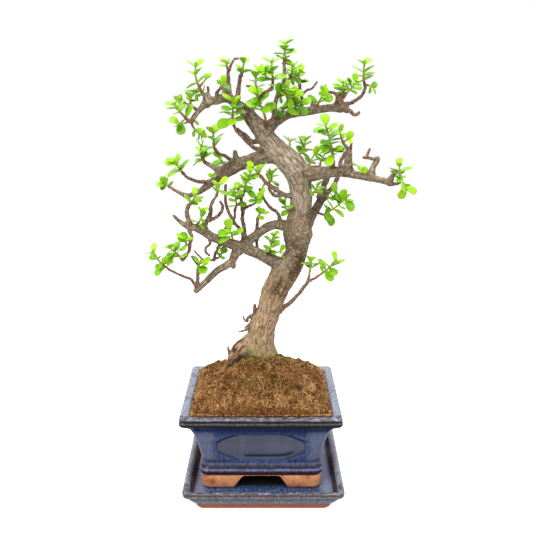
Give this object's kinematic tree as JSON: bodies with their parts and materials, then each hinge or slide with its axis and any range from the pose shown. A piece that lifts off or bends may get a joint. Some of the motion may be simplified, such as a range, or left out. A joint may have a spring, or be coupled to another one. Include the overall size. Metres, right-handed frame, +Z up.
{
  "type": "potted dwarf jade bonsai",
  "caption": "Dwarf jade bonsai with a curved woody trunk, gnarled limbs and small fleshy leaves, in a mound of soil in a glazed rectangular pot on its saucer.",
  "frame": {"origin": "centre of the saucer's underside, on the surface that it stands on", "axes": "+Z up along the trunk, -Y towards the front of the pot as pictured, +X to the right seen from the front"},
  "size_m": [0.2552, 0.1404, 0.4671],
  "materials": {
    "saucer_glaze": "glossy deep blue glaze breaking to rust brown on edges, bare terracotta foot",
    "pot_glaze": "glossy deep blue glaze breaking to rust brown on edges, bare terracotta feet",
    "screen": "black plastic mesh",
    "soil": "rough brown coir fibres and crumbs with a little moss",
    "bark": "grey-brown flaking bark, red-brown on thin twigs",
    "leaf": "smooth glossy fleshy leaves, light green above with yellow-green stems"
  },
  "bodies": {
    "root": {"saucer": "saucer_glaze", "pot": "pot_glaze", "drain_screen_left": "screen", "drain_screen_right": "screen", "soil": "soil", "trunk": "bark", "spray_corner_top": "leaf", "spray_corner_arm": "leaf", "spray_corner_left": "leaf", "spray_corner_down": "leaf", "spray_knob_tip": "leaf", "spray_near_tip": "leaf", "spray_side_tip": "leaf", "spray_front_shoot": "leaf", "spray_middle_shoot": "leaf", "spray_middle_arm": "leaf", "spray_crown_tip": "leaf", "spray_crown_side": "leaf", "spray_crown_low": "leaf", "spray_top_middle_tip": "leaf", "spray_leaf_fan": "leaf", "spray_hanging_fan": "leaf", "spray_top_near": "leaf", "spray_arch_tip": "leaf", "spray_top_knob": "leaf", "spray_reach_tip": "leaf", "spray_lift_tip": "leaf", "spray_outer_tip": "leaf", "spray_mid_leaves": "leaf", "spray_low_leaf": "leaf", "spray_far_tip": "leaf", "spray_left_end": "leaf", "spray_far_crown": "leaf", "spray_elbow": "leaf", "spray_near_rise_tip": "leaf", "spray_creeper_tip": "leaf", "spray_riser_fork": "leaf", "spray_inner_arm_tip": "leaf", "spray_arm_tip": "leaf", "spray_stub_shoot": "leaf", "spray_limb_leaf": "leaf", "spray_under_leaf": "leaf", "spray_rise_crown": "leaf", "spray_reach_end": "leaf", "spray_far_hanging": "leaf", "spray_mossy_shoot": "leaf", "spray_trunk_shoot": "leaf", "spray_red_green": "leaf", "spray_low_right": "leaf", "spray_big_leaf_shoot": "leaf", "spray_notch_shoot": "leaf", "spray_notch_far": "leaf", "spray_shoulder": "leaf", "spray_shoulder_small": "leaf", "spray_right_crown": "leaf", "spray_right_blade": "leaf", "spray_end_crown": "leaf", "spray_low_fork": "leaf", "spray_trunk_left_shoot": "leaf"}
  },
  "joints": []
}
